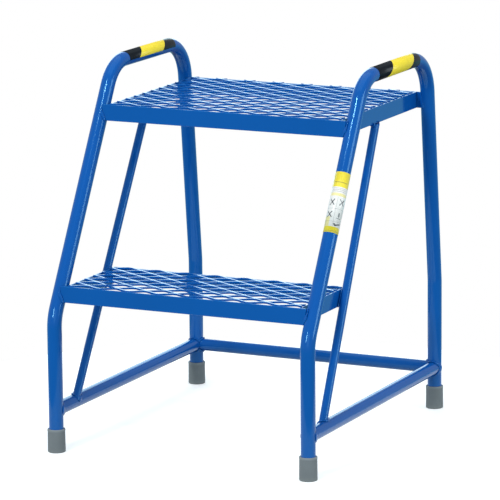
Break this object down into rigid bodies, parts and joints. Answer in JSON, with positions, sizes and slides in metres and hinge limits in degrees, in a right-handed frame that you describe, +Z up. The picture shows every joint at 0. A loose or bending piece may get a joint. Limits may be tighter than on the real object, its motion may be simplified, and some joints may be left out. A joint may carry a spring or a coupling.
{
  "type": "mounting block",
  "caption": "Two-step mounting block: welded tubular steel side hoops with hand-holds, braces, expanded-metal treads and rubber feet.",
  "frame": {"origin": "on the floor, at the centre of the four feet", "axes": "+X across the steps to the right of someone climbing, +Y from the first step to the back, +Z up"},
  "size_m": [0.4444, 0.5084, 0.5764],
  "materials": {
    "blue_powder_coat": "gloss blue powder coat",
    "striped_tape": "satin adhesive tape with wide diagonal yellow and black stripes",
    "grey_rubber": "matt grey moulded rubber",
    "zinc_steel": "zinc-plated",
    "label_film": "laminated printed film"
  },
  "bodies": {
    "root": {"left_hoop": "blue_powder_coat", "right_hoop": "blue_powder_coat", "left_side_rail": "blue_powder_coat", "right_side_rail": "blue_powder_coat", "rear_rail": "blue_powder_coat", "left_brace": "blue_powder_coat", "right_brace": "blue_powder_coat", "lower_tread_front_bar": "blue_powder_coat", "lower_tread_rear_bar": "blue_powder_coat", "lower_tread_left_bar": "blue_powder_coat", "lower_tread_right_bar": "blue_powder_coat", "lower_tread_mesh": "blue_powder_coat", "upper_tread_front_bar": "blue_powder_coat", "upper_tread_rear_bar": "blue_powder_coat", "upper_tread_left_bar": "blue_powder_coat", "upper_tread_right_bar": "blue_powder_coat", "upper_tread_mesh": "blue_powder_coat", "rail_welds": "blue_powder_coat", "brace_welds": "blue_powder_coat", "lower_tread_welds": "blue_powder_coat", "upper_tread_welds": "blue_powder_coat", "left_tape": "striped_tape", "right_tape": "striped_tape", "front_left_ferrule": "grey_rubber", "front_right_ferrule": "grey_rubber", "rear_left_ferrule": "grey_rubber", "rear_right_ferrule": "grey_rubber", "ferrule_washers": "zinc_steel", "instruction_label": "label_film"}
  },
  "joints": []
}
